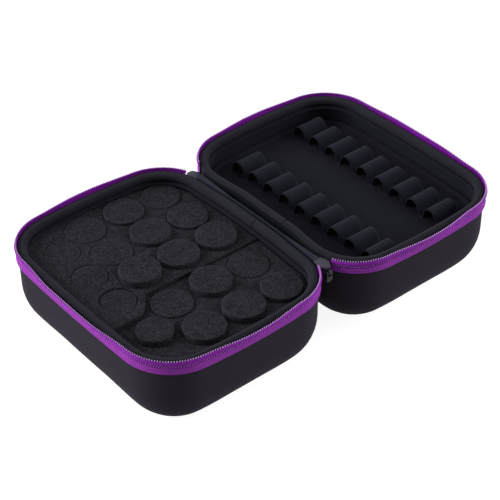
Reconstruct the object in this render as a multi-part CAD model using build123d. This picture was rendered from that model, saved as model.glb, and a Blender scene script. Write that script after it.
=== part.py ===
from build123d import *
import math
import os

# Essential oil storage box: two moulded half shells joined by a fabric hinge and a zip.
# It lies open and flat. X runs from the base half to the lid half, Y runs along the hinge,
# Z is up, and the origin is on the table midway between the halves. All sizes are in mm.

# Outline that both halves share, seen from above
case_length = 180.0
half_width = 143.6
corner_radius = 36.0
long_side_bow = 0.85
short_side_bow = 1.4
least_corner_radius = 0.3
corner_sides = 8
bow_sides = 2
open_gap = 3.0

# Moulded shell
shell_inset = 1.7
shell_wall = 4.5
shell_height = 58.2
bottom_radius = 33.0
outside_steps = 5
cavity_steps = 3

# Zip: tape sewn round the outside of the rim, coil elements along its upper edge
tape_inset = 1.0
tape_height = 10.3
tape_stand = 4.3
tooth_spacing = 1.65
tooth_width = 0.85
tooth_height = 4.5
tooth_stand = 5.3
tooth_gap = 0.05
zip_stop_reach = 7.7

# Binding that caps the rim, and the stiff band sewn inside below it
binding_inset = 2.0
binding_width = 5.7
binding_height = 3.0
binding_lip_drop = 1.0
binding_bevel = 1.2
binding_seam_width = 0.5
binding_seam_depth = 0.6
base_seam_y = -5.5
lid_seam_y = -17.9
band_thickness = 1.2
band_height = 11.0
band_top_drop = 3.4

# Fabric hinge between the halves
web_thickness = 1.2
web_depth = 9.0
web_rise = 1.4
web_past_corner = 7.0

# Foam in the base: a floor sheet, and two blocks with round holes and their plugs
foam_clearance = 0.3
foam_floor_thickness = 10.0
front_foam_height = 36.0
rear_rise_at_hinge = 0.9
rear_rise_at_front = 3.7
foam_cut = 0.5
cut_lobe_depth = 1.5
large_hole_radius = 14.0
small_hole_radius = 12.0
hole_sides = 20
plug_clearance = 0.3
plug_floor_gap = 1.2

# Hole centres, as shares of half the base's width and of half its length
column_shares = {"a": -0.578, "b": -0.226, "c": 0.198, "d": 0.621}
large_row_shares = [0.727, 0.396, 0.064, -0.301, -0.658]
small_row_shares = [0.609, 0.266, -0.069, -0.482]

# Corners of the cut between the blocks, as the same shares
cut_corner_shares = (-0.347, -0.126)
cut_lobe_shares = (-0.549, -0.298)
rear_large_rows = 3
rear_small_rows = 3

# How far each plug stands above the foam beside it: the highest one, and the share of that
# by column and row, from the hinge's far end to its near end
plug_rise_height = 5.0
plug_rise_shares = {
    "a": [0.06, 0.02, -0.14, 0.94],
    "b": [0.18, 0.14, 1.0, 0.26, 0.88],
    "c": [0.48, 0.68, 0.74, 0.84, 0.94],
    "d": [0.18, 0.38, 0.76, 0.12, 0.64],
}

# Lid: a foam pad, a covered panel with a piped edge, and two rows of elastic loops
panel_depth = 21.7
panel_thickness = 2.5
pad_thickness = 6.0
piping_width = 1.8
piping_height = 1.2
loop_count = 9
loop_band_width = 20.6
loop_thickness = 1.0
loop_height = 9.3
loop_crown_sides = 14
loop_tail = 1.2

# Loops, as shares: the pitch of the length, the loop's shape of the pitch, the rows' middles
# of half the width and half the length
loop_pitch_share = 0.0906
loop_crown_share = 0.362
loop_steep_foot_share = 0.387
loop_flared_foot_share = 0.515
inner_row_shares = (-0.362, -0.016)
outer_row_shares = (0.494, 0.05)

# Zip sliders, lying at the two ends of the hinge, and their pulls
slider_gap = 0.3
slider_tail_length = 5.8
slider_nose_length = 4.6
slider_tail_half_width = 3.4
slider_shoulder_half_width = 4.5
slider_nose_half_width = 2.0
slider_plate = 1.3
slider_channel = 1.6
slider_post_share = 0.45
front_slider_drop = 3.8
rear_slider_drop = 6.4
lug_half_width = 0.9
lug_length = 2.2
lug_hole_radius = 0.6
wire_sides = 8
pull_bar_radius = 0.45
pull_half_width = 2.2
pull_length = 7.5
pull_frame_length = 3.6
pull_tab_thickness = 1.0

overrun = 1.0

# Worked out from the sizes above
zip_height = shell_height + tooth_stand
base_x = -(half_width + open_gap) / 2
lid_x = -base_x
shell_corner_x = half_width / 2 - corner_radius - long_side_bow
shell_corner_y = case_length / 2 - corner_radius - short_side_bow
cavity_inset = shell_inset + shell_wall
panel_inset = cavity_inset + foam_clearance
foam_gap = band_thickness + foam_clearance
foam_inset = cavity_inset + foam_gap
plug_gap = binding_inset + binding_width + plug_clearance - cavity_inset
panel_bottom = zip_height - panel_depth - panel_thickness
foam_floor_top = shell_wall + foam_floor_thickness
front_foam_top = foam_floor_top + front_foam_height
tape_top = shell_height + tape_stand
panel_top = zip_height - panel_depth
web_half_span = shell_corner_y + web_past_corner
zip_stop_half_span = web_half_span + zip_stop_reach
slider_tail_y = web_half_span + slider_gap
slider_shoulder_y = slider_tail_y + slider_tail_length
slider_nose_y = slider_shoulder_y + slider_nose_length
loop_pitch = loop_pitch_share * case_length
loop_crown_radius = loop_crown_share * loop_pitch
loop_steep_foot = loop_steep_foot_share * loop_pitch
loop_flared_foot = loop_flared_foot_share * loop_pitch

os.makedirs("parts", exist_ok=True)


def save(node, shape):
    """Write one node of the assembly."""
    export_step(shape, "parts/" + node + ".step")


def outline_arcs():
    """The outline's arcs round one half: centre, radius, first and last direction, sides."""
    long_radius = shell_corner_y**2 / (2 * long_side_bow) + corner_radius + long_side_bow / 2
    short_radius = shell_corner_x**2 / (2 * short_side_bow) + corner_radius + short_side_bow / 2
    long_reach = half_width / 2 - long_radius
    short_reach = case_length / 2 - short_radius
    lean_long = math.atan2(shell_corner_y, shell_corner_x - long_reach)
    lean_short = math.atan2(shell_corner_x, shell_corner_y - short_reach)
    arcs = []
    for quarter in range(4):
        along_x = quarter % 2 == 0
        lean, next_lean = (lean_long, lean_short) if along_x else (lean_short, lean_long)
        radius = long_radius if along_x else short_radius
        facing = quarter * math.pi / 2
        ahead = Vector(math.cos(facing), math.sin(facing))
        beside = Vector(-ahead.Y, ahead.X)
        bow_centre = ahead * (long_reach if along_x else short_reach)
        reach, across = shell_corner_x, shell_corner_y
        if not along_x:
            reach, across = across, reach
        arcs.append((bow_centre, radius, facing - lean, facing + lean, bow_sides))
        arcs.append((
            ahead * reach + beside * across, corner_radius,
            facing + lean, facing + math.pi / 2 - next_lean, corner_sides))
    return arcs


def outline_corners(inset, centre_x, z):
    """The corners of one half's bowed and rounded outline, drawn in by inset. Its curves are
    many-sided, so that everything that follows them stays light. Where no corner radius would
    be left, the outline shrinks towards its middle instead."""
    round_inset = min(inset, corner_radius - least_corner_radius)
    shrink = 1 - (inset - round_inset) / (half_width / 2 - round_inset)
    corners = []
    for centre, radius, first, last, sides in outline_arcs():
        for step in range(sides):
            turn = first + (last - first) * step / sides
            x = centre.X + (radius - round_inset) * math.cos(turn)
            y = centre.Y + (radius - round_inset) * math.sin(turn)
            corners.append((centre_x + shrink * x, shrink * y, z))
    return corners


def outline(inset, centre_x, z=0):
    """The same outline as a face."""
    return Face(Wire.make_polygon(outline_corners(inset, centre_x, z), close=True))


def slab(inset, centre_x, low, high):
    """The outline drawn in by inset and raised from low to high."""
    return extrude(outline(inset, centre_x, low), amount=high - low)


def ring(outer_inset, inner_inset, centre_x, low, high):
    """A band that follows the outline between two insets."""
    return slab(outer_inset, centre_x, low, high) - slab(inner_inset, centre_x, low, high)


def bowl_levels(inset, low, radius, steps):
    """Inset and height at each step of a rounded bottom, from its flat up to the wall."""
    turns = [math.radians(90 * step / steps) for step in range(steps + 1)]
    return [
        (inset + radius * (1 - math.sin(turn)), low + radius * (1 - math.cos(turn)))
        for turn in turns]


def tapered(centre_x, levels):
    """A solid whose outline is drawn in by a given inset at each of its heights."""
    faces = [outline(inset, centre_x, z) for inset, z in (levels[0], levels[-1])]
    rings = [outline_corners(inset, centre_x, z) for inset, z in levels]
    for under, over in zip(rings, rings[1:]):
        for here in range(len(under)):
            back = here - 1
            corners = [under[back], under[here], over[here], over[back]]
            faces.append(Face(Wire.make_polygon(corners, close=True)))
    return Solid(Shell(faces))


def block(x_range, y_range, z_range):
    """A box between two values on each axis."""
    size = [high - low for low, high in (x_range, y_range, z_range)]
    middle = [(high + low) / 2 for low, high in (x_range, y_range, z_range)]
    return Pos(*middle) * Box(*size)


def open_zone(centre_x, half_span):
    """The zone on the hinge side that the zip leaves free."""
    hinge_edge = centre_x + math.copysign(half_width, -centre_x)
    return block(sorted((centre_x, hinge_edge)), (-half_span, half_span), (0, 2 * zip_height))


def cavity_levels():
    """The inside of a half's rounded bottom, step by step."""
    return bowl_levels(cavity_inset, shell_wall, bottom_radius - shell_wall, cavity_steps)


def shell(centre_x):
    """One moulded half: straight walls, a deep rounded bottom and an even wall."""
    outside = bowl_levels(shell_inset, 0, bottom_radius, outside_steps)
    outside.append((shell_inset, shell_height))
    inside = cavity_levels() + [(cavity_inset, shell_height + overrun)]
    return tapered(centre_x, outside) - tapered(centre_x, inside)


def zip_tape(centre_x):
    """The tape's skirt, which stands round the rim and leaves the hinge side free."""
    skirt = ring(tape_inset, shell_inset, centre_x, tape_top - tape_height, tape_top)
    return skirt - open_zone(centre_x, zip_stop_half_span)


def zip_coil(centre_x, shift):
    """The zip's elements, evenly spaced along the rim outside the tape's upper edge."""
    depth = tape_inset - tooth_gap
    path = outline(depth / 2, centre_x).outer_wire()
    low = zip_height - tooth_height
    wedge = Polyline(
        (-tooth_width / 2, depth / 2), (tooth_width / 2, depth / 2), (0, -depth / 2), close=True)
    tooth = extrude(make_face(wedge), amount=tooth_height)
    teeth = []
    for number in range(int(path.length / tooth_spacing)):
        share = (number + shift) * tooth_spacing / path.length
        place = path.position_at(share)
        along = path.tangent_at(share)
        hinge_side = (place.X - centre_x) * centre_x < 0
        if hinge_side and abs(place.Y) < zip_stop_half_span + tooth_width:
            continue
        turn = math.degrees(math.atan2(along.Y, along.X))
        teeth.append(Pos(place.X, place.Y, low) * Rot(0, 0, turn) * tooth)
    return Compound(teeth)


def binding(centre_x, seam_y):
    """The covered bead on the rim, its lip inside the shell, and its butt seam."""
    inner_inset = binding_inset + binding_width
    top = shell_height + binding_height
    bead = ring(binding_inset, inner_inset, centre_x, shell_height, top)
    bead = chamfer(bead.edges().group_by(Axis.Z)[-1], binding_bevel)
    lip = ring(cavity_inset, inner_inset, centre_x, shell_height - binding_lip_drop, shell_height)
    seam = block(
        sorted((centre_x, 0)),
        (seam_y, seam_y + binding_seam_width),
        (top - binding_seam_depth, top + overrun))
    return bead + lip - seam


def liner_band(centre_x):
    """The stiff covered band sewn round the inside of the wall, under the binding."""
    top = shell_height - band_top_drop
    return ring(cavity_inset, cavity_inset + band_thickness, centre_x, top - band_height, top)


for half, centre_x, seam_y, shift in (
        ("base", base_x, base_seam_y, 0), ("lid", lid_x, lid_seam_y, 0.5)):
    save(half + "_shell", shell(centre_x))
    save(half + "_zip_tape", zip_tape(centre_x))
    save(half + "_zip_coil", zip_coil(centre_x, shift))
    save(half + "_binding", binding(centre_x, seam_y))
    save(half + "_liner_band", liner_band(centre_x))


def cavity_inset_at(height):
    """How far the inside of the wall is drawn in at a height."""
    levels = cavity_levels()
    for (under_inset, under), (over_inset, over) in zip(levels, levels[1:]):
        if under <= height < over:
            share = (height - under) / (over - under)
            return under_inset + (over_inset - under_inset) * share
    return cavity_inset


def foam_form(gap, low, high):
    """Foam cut to the inside of the base, a gap from its wall, between two heights."""
    steps = [z for _, z in cavity_levels() if low < z < high]
    return tapered(base_x, [(cavity_inset_at(z) + gap, z) for z in [low] + steps + [high]])


def rear_foam_rise(x):
    """How far the rear block stands above the front one, at x from the middle of the base."""
    reach = half_width / 2 - foam_inset
    share = (x + reach) / (2 * reach)
    return rear_rise_at_front + (rear_rise_at_hinge - rear_rise_at_front) * share


def rear_zone(shift):
    """The side of the wavy cut that belongs to the rear block, from floor to rim."""
    corner, lobe = [
        Vector(x * half_width / 2, y * case_length / 2)
        for x, y in (cut_corner_shares, cut_lobe_shares)]
    along = (corner - lobe).normalized()
    bulge = (corner + lobe) / 2 + Vector(along.Y, -along.X) * cut_lobe_depth
    far = case_length
    edges = [
        Line((-far, lobe.Y), lobe),
        ThreePointArc(lobe, bulge, corner),
        Line(corner, (far, corner.Y)),
        Line((far, corner.Y), (far, far)),
        Line((far, far), (-far, far)),
        Line((-far, far), (-far, lobe.Y)),
    ]
    return Pos(base_x, shift, 0) * extrude(make_face(edges), amount=zip_height)


def rear_wedge():
    """The space under the rear block's sloping top."""
    reach = half_width / 2
    corners = [
        (-reach, 0),
        (reach, 0),
        (reach, front_foam_top + rear_foam_rise(reach)),
        (-reach, front_foam_top + rear_foam_rise(-reach)),
    ]
    side = Plane.XZ * make_face(Polyline(*corners, close=True))
    return Pos(base_x, case_length / 2, 0) * extrude(side, amount=case_length)


def plug_places():
    """Every hole: its column, row, centre, radius, and whether it is in the rear block."""
    for column, across in column_shares.items():
        small = column == "a"
        radius = small_hole_radius if small else large_hole_radius
        rear_rows = rear_small_rows if small else rear_large_rows
        for row, along in enumerate(small_row_shares if small else large_row_shares):
            in_rear = row < rear_rows
            yield column, row, across * half_width / 2, along * case_length / 2, radius, in_rear


def upright(x, y, radius, low, high):
    """A many-sided round bar that stands at a place in the base."""
    return Pos(base_x + x, y, low) * extrude(RegularPolygon(radius, hole_sides), amount=high - low)


def foam_block(rear):
    """One of the two holed foam blocks."""
    top = front_foam_top + (rear_rise_at_front if rear else 0)
    form = foam_form(foam_gap, foam_floor_top, top)
    if rear:
        form = form & rear_zone(0) & rear_wedge()
    else:
        form = form - rear_zone(-foam_cut)
    holes = [
        upright(x, y, radius, 0, zip_height)
        for column, row, x, y, radius, in_rear in plug_places() if in_rear == rear]
    return form - holes


plug_form = foam_form(plug_gap, foam_floor_top, zip_height)


def foam_plug(column, row, x, y, radius, in_rear):
    """The round cut-out that fills a hole, trimmed so that it lifts out past the binding."""
    top = front_foam_top + (rear_foam_rise(x) if in_rear else 0)
    bar = upright(x, y, radius - plug_clearance, foam_floor_top + plug_floor_gap, top)
    return Pos(0, 0, plug_rise_height * plug_rise_shares[column][row]) * (bar & plug_form)


save("foam_floor", foam_form(foam_gap, shell_wall, foam_floor_top))
save("foam_block_rear", foam_block(True))
save("foam_block_front", foam_block(False))
for column, row, x, y, radius, in_rear in plug_places():
    plug = foam_plug(column, row, x, y, radius, in_rear)
    save("foam_plug_" + column + str(row + 1), plug)


def panel_piping():
    """The raised covered edge of the panel."""
    return ring(
        panel_inset, panel_inset + piping_width, lid_x, panel_top, panel_top + piping_height)


def arch(centre_y, inset):
    """One loop's outline seen along the row: a round crown, one steep and one flared side."""
    crown = Pos(centre_y, loop_height - loop_crown_radius) * RegularPolygon(
        loop_crown_radius - inset, loop_crown_sides)
    foot = Line(
        (centre_y - loop_flared_foot + inset, 0), (centre_y + loop_steep_foot - inset, 0))
    return make_hull(crown.edges() + foot.edges())


def loop_row(middle_shares):
    """A band of elastic sewn down between its loops."""
    row_x = middle_shares[0] * half_width / 2
    row_y = middle_shares[1] * case_length / 2
    reach = loop_pitch * (loop_count - 1) / 2
    centres = [row_y - reach + number * loop_pitch for number in range(loop_count)]
    low = centres[0] - loop_flared_foot - loop_tail
    high = centres[-1] + loop_steep_foot + loop_tail
    profile = Pos((low + high) / 2, loop_thickness / 2) * Rectangle(high - low, loop_thickness)
    for y in centres:
        profile += arch(y, 0)
    for y in centres:
        profile -= arch(y, loop_thickness)
    profile -= Pos((low + high) / 2, -loop_height / 2) * Rectangle(high - low, loop_height)
    band = extrude(Plane.YZ * profile, amount=loop_band_width)
    return Pos(lid_x + row_x - loop_band_width / 2, 0, panel_top) * band


save("lid_pad", slab(panel_inset, lid_x, panel_bottom - pad_thickness, panel_bottom))
save("lid_panel", slab(panel_inset, lid_x, panel_bottom, panel_top))
save("lid_panel_piping", panel_piping())
save("loop_row_inner", loop_row(inner_row_shares))
save("loop_row_outer", loop_row(outer_row_shares))


def hinge_web():
    """The fabric hinge: a strip sewn to both walls that arches over the slot between them."""
    low, high = shell_height - web_depth, shell_height + web_rise
    reach = half_width / 2
    zone = block((-reach, reach), (-web_half_span, web_half_span), (low, high))
    middles = (base_x, lid_x)
    walls = [slab(shell_inset, middle, 0, zip_height) for middle in middles]
    legs = [slab(shell_inset - web_thickness, middle, 0, zip_height) for middle in middles]
    crown = block((-reach, reach), (-web_half_span, web_half_span), (high - web_thickness, high))
    return (zone & (legs[0] + legs[1])) + crown - walls


def cross_bar(radius, half_length):
    """A many-sided bar along X."""
    return extrude(Plane.YZ * RegularPolygon(radius, wire_sides), amount=half_length, both=True)


def slider_plan(side, share):
    """The slider's six-sided outline, drawn in about its shoulders by a share."""
    points = []
    for x, y in (
            (slider_tail_half_width, slider_tail_y),
            (slider_shoulder_half_width, slider_shoulder_y),
            (slider_nose_half_width, slider_nose_y)):
        points.append((share * x, side * (slider_shoulder_y + share * (y - slider_shoulder_y))))
    points += [(-x, y) for x, y in reversed(points)]
    return make_face(Polyline(*points, close=True))


def slider(side, drop):
    """A zip slider: two plates held apart by a post, with a drilled lug at its nose."""
    low = zip_height - drop - 2 * slider_plate - slider_channel
    plate = extrude(slider_plan(side, 1), amount=slider_plate)
    post = extrude(slider_plan(side, slider_post_share), amount=slider_channel)
    hole_y, hole_z = slider_pivot(side, drop)
    lug = block(
        (-lug_half_width, lug_half_width),
        sorted((side * (slider_nose_y - slider_plate), side * (slider_nose_y + lug_length))),
        (low, 2 * hole_z - low))
    hole = Pos(0, hole_y, hole_z) * cross_bar(lug_hole_radius, lug_length)
    body = Pos(0, 0, low) * plate + Pos(0, 0, low + slider_plate) * post
    body += Pos(0, 0, low + slider_plate + slider_channel) * plate
    return body + lug - hole


def slider_pivot(side, drop):
    """Where the pull's bar passes through the slider's lug, as y and z."""
    low = zip_height - drop - 2 * slider_plate - slider_channel
    return side * (slider_nose_y + lug_length / 2), low + lug_length / 2


def slider_pull(side, drop):
    """A wire frame through the lug, carrying a flat tab that hangs straight down."""
    rail_length = pull_frame_length + pull_tab_thickness
    rail_size = 2 * pull_bar_radius
    frame = cross_bar(pull_bar_radius, pull_half_width)
    for way in (1, -1):
        rail = Box(rail_size, rail_size, rail_length)
        frame += Pos(way * (pull_half_width - pull_bar_radius), 0, -rail_length / 2) * rail
    tab_height = pull_length - pull_frame_length
    tab = Box(2 * pull_half_width, pull_tab_thickness, tab_height)
    tab = fillet(tab.edges().filter_by(Axis.Y).group_by(Axis.Z)[0], pull_half_width / 2)
    frame += Pos(0, 0, -pull_frame_length - tab_height / 2) * tab
    pivot_y, pivot_z = slider_pivot(side, drop)
    return Pos(0, pivot_y, pivot_z) * frame


save("hinge_web", hinge_web())
for end, side, drop in (("front", -1, front_slider_drop), ("rear", 1, rear_slider_drop)):
    save("slider_" + end, slider(side, drop))
    save("slider_pull_" + end, slider_pull(side, drop))
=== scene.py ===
"""Looks of an essential oil storage box that lies open: two moulded half shells joined by a
fabric hinge and a zip, holed foam with its plugs in the base, and rows of elastic loops in
the lid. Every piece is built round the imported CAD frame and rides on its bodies."""

import math

import bmesh
import bpy
from mathutils import Matrix, Vector, noise
from mathutils.geometry import interpolate_bezier
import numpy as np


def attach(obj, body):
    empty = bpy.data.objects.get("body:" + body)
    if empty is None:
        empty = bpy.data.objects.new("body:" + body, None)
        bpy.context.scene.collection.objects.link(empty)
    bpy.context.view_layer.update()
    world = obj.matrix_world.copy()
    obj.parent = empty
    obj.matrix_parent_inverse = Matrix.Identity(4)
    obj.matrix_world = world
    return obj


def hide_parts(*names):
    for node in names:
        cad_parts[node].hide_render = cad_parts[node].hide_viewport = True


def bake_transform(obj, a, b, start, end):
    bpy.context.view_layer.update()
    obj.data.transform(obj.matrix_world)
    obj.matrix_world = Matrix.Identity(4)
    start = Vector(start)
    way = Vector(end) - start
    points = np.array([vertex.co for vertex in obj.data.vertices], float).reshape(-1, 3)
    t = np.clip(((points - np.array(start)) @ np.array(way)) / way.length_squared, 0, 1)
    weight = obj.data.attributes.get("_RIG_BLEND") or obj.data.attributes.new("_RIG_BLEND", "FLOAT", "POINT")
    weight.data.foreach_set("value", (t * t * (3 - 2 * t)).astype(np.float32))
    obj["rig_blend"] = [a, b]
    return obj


bl_info = {
    "name": "Essential Oil Storage Box",
    "version": (1, 0, 0),
    "blender": (4, 5, 0),
    "location": "3D View > Sidebar > Oil Box",
    "description": "Builds the fabric, foam and zip of an open storage box for small oil bottles",
    "category": "Add Mesh",
}

MM = 0.001
PREFIX = "oil_box_"
HALVES = ("base", "lid")
SLACK_REACH = 34 * MM  # how far from a corner a straight side gives fully

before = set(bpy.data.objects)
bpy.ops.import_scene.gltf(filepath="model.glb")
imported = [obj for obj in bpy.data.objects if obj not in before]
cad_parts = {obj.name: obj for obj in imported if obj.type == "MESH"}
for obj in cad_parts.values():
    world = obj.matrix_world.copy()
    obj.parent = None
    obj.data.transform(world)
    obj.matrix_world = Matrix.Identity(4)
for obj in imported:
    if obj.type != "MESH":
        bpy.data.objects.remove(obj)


# Properties: the sizes and colours that a user would change

def size(millimetres, description):
    """A length property, given in millimetres."""
    return bpy.props.FloatProperty(
        description=description, default=millimetres * MM, unit="LENGTH", precision=5)


def share(value, description):
    """A plain number property."""
    return bpy.props.FloatProperty(description=description, default=value)


def angle(degrees, description):
    """An angle property, given in degrees."""
    return bpy.props.FloatProperty(
        description=description, default=math.radians(degrees), subtype="ANGLE")


def count(value, description):
    """A whole number property."""
    return bpy.props.IntProperty(description=description, default=value, min=1)


def linear(channel):
    """One channel of a screen colour, 0 to 255, as Blender's linear value."""
    value = channel / 255
    return value / 12.92 if value <= 0.04045 else ((value + 0.055) / 1.055) ** 2.4


def colour(screen, description):
    """A colour property, given as it looks on a screen."""
    return bpy.props.FloatVectorProperty(
        description=description, subtype="COLOR", size=4, min=0, max=1,
        default=(*[linear(channel) for channel in screen], 1))


def labelled(group):
    """Labels each property of a group after its own name."""
    for name, prop in group.__annotations__.items():
        prop.keywords["name"] = name.replace("_", " ").capitalize()
    return group


@labelled
class OilBoxCase(bpy.types.PropertyGroup):
    """The outline that both halves share."""
    length: size(180.0, "Length of a half along the hinge")
    width: size(143.6, "Width of a half across the hinge")
    corner_radius: size(36.0, "Radius of the outline's corners")
    long_bow: size(0.85, "How far the long sides bow out")
    short_bow: size(1.4, "How far the short sides bow out")
    open_gap: size(3.0, "Gap between the open halves at the hinge")
    base_give: size(1.2, "How far the base's rim gives towards the lid at the hinge")
    lid_give: size(3.0, "How far the lid's rim gives away from the base at the hinge")
    station_gap: size(2.2, "Distance between points round the rim")


@labelled
class OilBoxShell(bpy.types.PropertyGroup):
    """The moulded shells."""
    inset: size(1.7, "How far the shell lies inside the outline")
    wall: size(4.5, "Thickness of the padded wall")
    height: size(58.2, "Height of the shell without its zip")
    bottom_radius: size(33.0, "Radius of the rounded bottom")
    bottom_steps: count(14, "Rings in the rounded bottom")
    side_tuck: size(1.5, "How far the straight sides draw in towards the bottom")


@labelled
class OilBoxZip(bpy.types.PropertyGroup):
    """The zip's tape and coil."""
    height: size(63.5, "Height of the coil's upper edge")
    tape_inset: size(1.0, "How far the tape lies inside the outline")
    tape_top: size(61.9, "Height of the tape's upper edge")
    tape_height: size(8.9, "Height of the tape's visible skirt")
    tape_bulge: size(0.85, "How far the tape's folded edge stands out")
    # height of the tape's upper part, painted darker as the shade under the coil
    ground: size(4.4, "Height of the tape's dark upper part, which carries the coil")
    tooth_spacing: size(1.65, "Spacing of the coil's teeth")
    tooth_height: size(2.3, "Height of one tooth")
    tooth_width: size(0.85, "Width of one tooth along the rim")
    tooth_depth: size(1.1, "Depth of one tooth across the rim")
    tooth_lean: share(0.12, "How far a tooth leans along the rim as it rises")
    # how far down a tooth its painted highlight reaches
    tip_height: size(1.3, "Height of a tooth's pale tip")
    cord_depth: size(0.7, "Half the depth of the smooth cord below the tips")
    cord_height: size(0.85, "Half the height of the smooth cord")
    cord_drop: size(2.2, "How far the cord's middle lies below the tips")
    side_lean: size(2.4, "How far the tips lean out along the straight sides")
    side_drop: size(0.4, "How far the coil sinks along the straight sides")
    end_droop: size(1.8, "How far the lid's zip hangs beside the front slider")
    end_reach: size(105.0, "Distance from the hinge over which it hangs")
    stop_half_span: size(67.3, "Distance from the middle to the zip's ends")
    stitch_drop: size(3.5, "How far the upper row of stitches lies below the tips")
    stitch_row_gap: size(1.4, "Distance between the two rows of stitches")
    stitch_length: size(0.85, "Length of one stitch")
    stitch_radius: size(0.4, "Radius of the sewing thread")


@labelled
class OilBoxRim(bpy.types.PropertyGroup):
    """The binding on the rims and the bands below it."""
    inset: size(2.0, "How far the binding lies inside the outline")
    width: size(5.7, "Width of the binding")
    height: size(3.0, "Height of the binding above the shell")
    lip_drop: size(1.0, "How far the binding's lip hangs inside the wall")
    base_seam: size(-5.5, "Place of the base binding's butt seam along the hinge")
    lid_seam: size(-17.9, "Place of the lid binding's butt seam along the hinge")
    seam_half_width: size(0.35, "Half the width of the butt seam's groove")
    seam_depth: size(0.6, "Depth of the butt seam's groove")
    band_thickness: size(1.2, "Thickness of the stiff band inside the wall")
    band_height: size(11.0, "Height of the stiff band")
    band_drop: size(3.4, "How far the band lies below the shell's edge")


@labelled
class OilBoxHinge(bpy.types.PropertyGroup):
    """The fabric hinge."""
    thickness: size(1.2, "Thickness of the hinge's fabric")
    depth: size(9.0, "How far the hinge runs down the walls")
    rise: size(1.4, "How far it arches above the shells")
    half_span: size(59.6, "Half the length of the hinge")
    fold_place: size(2.0, "Distance of the raised fold from the base's wall")
    fold_width: size(1.7, "Width of the raised fold in the middle")
    fold_half_span: size(26.0, "Half the length over which the fold is narrow")
    flare: size(24.0, "Length over which the fold widens towards an end")


@labelled
class OilBoxFoam(bpy.types.PropertyGroup):
    """The foam in the base."""
    wall_gap: size(1.5, "Gap between the foam and the wall")
    floor_thickness: size(10.0, "Thickness of the foam floor")
    front_height: size(36.0, "Height of the near block")
    rise_at_hinge: size(0.9, "How far the far block rises beside the hinge")
    rise_at_front: size(3.7, "How far the far block rises at the outer wall")
    cut: size(0.5, "Width of the cut between the blocks")
    lobe_depth: size(1.5, "How far the cut's curved part bulges")
    large_hole: size(14.0, "Radius of the large holes")
    small_hole: size(12.0, "Radius of the small holes")
    hole_sides: count(64, "Sides of a hole")
    plug_clearance: size(0.3, "Gap round a plug")
    plug_floor_gap: size(1.2, "Gap under a plug")
    plug_rise: size(5.0, "How far the highest plug stands up")
    plug_press: size(0.9, "How far a plug goes down past the foam's top")
    edge: size(0.6, "Rounding of the foam's cut edges")


@labelled
class OilBoxLid(bpy.types.PropertyGroup):
    """The lid's panel and loops."""
    panel_depth: size(21.7, "Depth of the panel below the zip")
    panel_thickness: size(2.5, "Thickness of the covered panel")
    pad_thickness: size(6.0, "Thickness of the pad under the panel")
    clearance: size(0.3, "Gap between the panel and the wall")
    piping_width: size(4.8, "Width of the panel's piped edge")
    piping_height: size(1.6, "Height of the panel's piped edge")
    loops: count(9, "Loops in a row")
    band_width: size(20.6, "Width of the elastic band")
    band_thickness: size(0.7, "Thickness of the elastic")
    loop_height: size(9.3, "Height of a loop")
    loop_tail: size(1.2, "Flat end of the band")


@labelled
class OilBoxColours(bpy.types.PropertyGroup):
    """The colours of the box, as they look on a screen."""
    shell: colour((52, 48, 58), "Laminated fabric on the shells")
    lining: colour((32, 32, 42), "Lining of the walls")
    panel: colour((25, 25, 34), "Smooth cover of the lid's panel")
    binding: colour((40, 40, 47), "Binding on the rims")
    tape: colour((170, 72, 194), "Woven tape of the zip")
    # painted shade on the tape under the coil
    ground: colour((126, 26, 160), "Shaded tape under the coil")
    coil: colour((148, 36, 180), "Nylon coil of the zip")
    # painted highlight: the pale colour of the teeth's tips
    coil_tip: colour((232, 190, 246), "Shiny tips of the coil")
    thread: colour((222, 128, 238), "Sewing thread on the tape")
    foam: colour((44, 43, 49), "Cut foam")
    elastic: colour((28, 30, 39), "Elastic band of the loops")
    hinge: colour((48, 51, 63), "Fabric of the hinge")
    # painted shade: a darker copy of the hinge's fabric for the shaded valleys beside the fold
    gusset: colour((19, 20, 26), "Dark fabric beside the hinge's fold")
    slider: colour((46, 45, 60), "Painted metal of the zip sliders")
    # painted shade: a darker copy of the sliders' painted metal for the pulls
    pull: colour((22, 23, 28), "Painted metal of the sliders' pulls")
    floor: colour((165, 165, 165), "Floor under the box")


@labelled
class OilBoxView(bpy.types.PropertyGroup):
    """The camera, solved from the photograph."""
    azimuth: angle(-39.33, "Direction of the camera round the box")
    elevation: angle(37.80, "Angle of the camera above the floor")
    roll: angle(-0.52, "Tilt of the camera about its own axis")
    distance: size(1059.5, "Distance of the camera from its target")
    target_x: size(22.58, "Point on the floor that the camera looks at")
    target_y: size(33.96, "Point on the floor that the camera looks at")
    lens: share(109.95, "Focal length in millimetres on a 36 mm sensor")


GROUPS = {
    "case": OilBoxCase, "shell": OilBoxShell, "zip": OilBoxZip, "rim": OilBoxRim,
    "hinge": OilBoxHinge, "foam": OilBoxFoam, "lid": OilBoxLid, "colours": OilBoxColours,
    "view": OilBoxView,
}


def sizes(*names):
    """The scene's groups with some names, or the one group asked for."""
    groups = [getattr(bpy.context.scene, PREFIX + name) for name in names]
    return groups if len(groups) > 1 else groups[0]


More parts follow.
